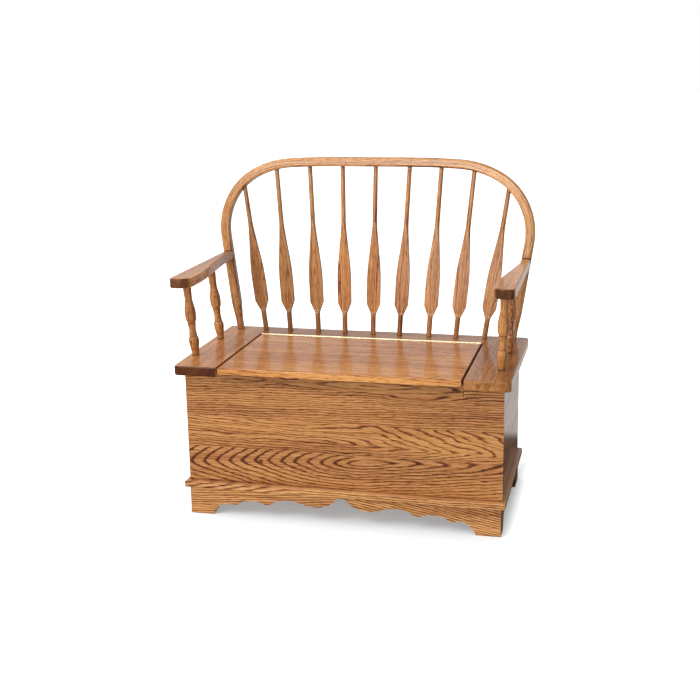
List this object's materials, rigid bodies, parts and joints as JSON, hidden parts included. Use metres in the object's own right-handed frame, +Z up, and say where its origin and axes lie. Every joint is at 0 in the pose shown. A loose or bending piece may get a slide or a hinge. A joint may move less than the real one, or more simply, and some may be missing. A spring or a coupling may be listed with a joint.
{
  "type": "storage bench",
  "caption": "Oak storage bench with a hinged lid in its seat, a scalloped plinth, a bent bow back with flat-bladed spindles, and arms on turned posts.",
  "frame": {"origin": "on the floor, under the middle of the whole bench: midway between its ends, and midway between the seat's front edge and the back of the bow", "axes": "+Z up, -Y towards the front, where the sitter's legs are, +X to the right as seen from the front"},
  "size_m": [0.9906, 0.5222, 1.0056],
  "materials": {
    "oak": "satin lacquer over golden-brown stain",
    "brass": "polished",
    "steel": "zinc-plated"
  },
  "bodies": {
    "bench": {"skirt_front": "oak", "skirt_left": "oak", "skirt_right": "oak", "skirt_back": "oak", "base_moulding_front": "oak", "base_moulding_left": "oak", "base_moulding_right": "oak", "base_rail_back": "oak", "front_panel": "oak", "side_panel_left": "oak", "side_panel_right": "oak", "back_panel": "oak", "bottom_panel": "oak", "seat_board_left": "oak", "seat_board_right": "oak", "back_rail": "oak", "back_spindle_1": "oak", "back_spindle_2": "oak", "back_spindle_3": "oak", "back_spindle_4": "oak", "back_spindle_5": "oak", "back_spindle_6": "oak", "back_spindle_7": "oak", "back_spindle_8": "oak", "back_spindle_9": "oak", "bow": "oak", "arm_left": "oak", "arm_right": "oak", "arm_post_front_left": "oak", "arm_post_front_right": "oak", "arm_post_back_left": "oak", "arm_post_back_right": "oak", "hinge_leaf_rail": "brass", "hinge_pin": "brass", "hinge_screws_rail": "brass", "arm_screws": "steel"},
    "lid": {"lid_panel": "oak", "lid_apron": "oak", "hinge_leaf_lid": "brass", "hinge_screws_lid": "brass"}
  },
  "joints": [
    {"name": "lid_hinge", "type": "hinge", "parent": "bench", "child": "lid", "pos_m": [0, 0.15352, 0.4572], "axis": [-1, 0, 0], "range_deg": [0, 99]}
  ]
}
